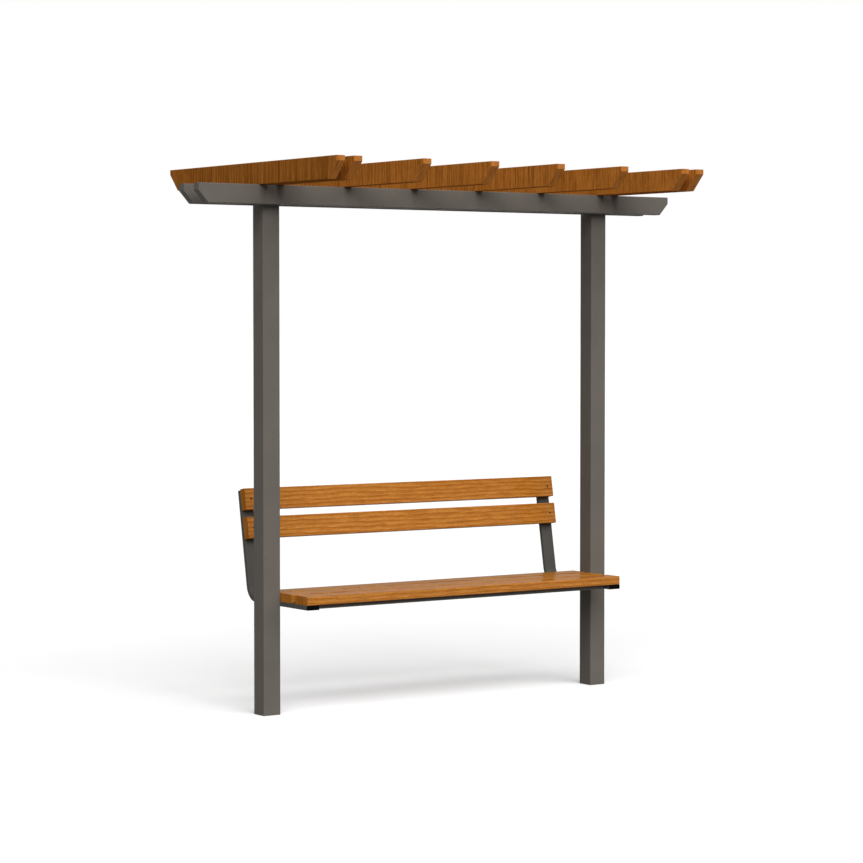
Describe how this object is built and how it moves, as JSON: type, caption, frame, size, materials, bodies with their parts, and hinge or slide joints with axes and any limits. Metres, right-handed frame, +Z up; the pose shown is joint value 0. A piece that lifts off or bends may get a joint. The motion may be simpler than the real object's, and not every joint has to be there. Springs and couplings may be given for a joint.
{
  "type": "garden pergola with bench",
  "caption": "Open garden pergola: timber rafters on steel beams between steel posts, with a slatted timber bench and back rest held by bent side frames.",
  "frame": {"origin": "centre of the left post's foot, at ground level", "axes": "+Z up; +X along the bench and the beams, from the left post to the right post; +Y to the back, away from the seat's front edge"},
  "size_m": [2.47, 1.355, 2.317],
  "materials": {
    "steel_paint": "warm grey satin powder coat on welded steel tube",
    "frame_paint": "warm grey satin powder coat on bent steel tube",
    "rafter_timber": "brown-stained sawn timber with fine upright streaks",
    "board_timber": "orange-brown varnished timber with lengthwise grain",
    "black_plastic": "black moulded end cap",
    "screw_steel": "dark bronze-coated steel screw"
  },
  "bodies": {
    "root": {"left_post": "steel_paint", "right_post": "steel_paint", "left_post_foot_plate": "steel_paint", "right_post_foot_plate": "steel_paint", "left_post_top_plate": "steel_paint", "right_post_top_plate": "steel_paint", "front_beam": "steel_paint", "rear_beam": "steel_paint", "front_beam_left_end": "steel_paint", "front_beam_right_end": "steel_paint", "rear_beam_left_end": "steel_paint", "rear_beam_right_end": "steel_paint", "rafter_1": "rafter_timber", "rafter_2": "rafter_timber", "rafter_3": "rafter_timber", "rafter_4": "rafter_timber", "rafter_5": "rafter_timber", "rafter_6": "rafter_timber", "rafter_7": "rafter_timber", "rafter_8": "rafter_timber", "left_side_frame": "frame_paint", "right_side_frame": "frame_paint", "left_frame_front_cap": "black_plastic", "right_frame_front_cap": "black_plastic", "left_frame_top_cap": "black_plastic", "right_frame_top_cap": "black_plastic", "seat_rail": "frame_paint", "front_seat_board": "board_timber", "middle_seat_board": "board_timber", "rear_seat_board": "board_timber", "upper_back_board": "board_timber", "lower_back_board": "board_timber", "seat_screws": "screw_steel", "back_screws": "screw_steel"}
  },
  "joints": []
}
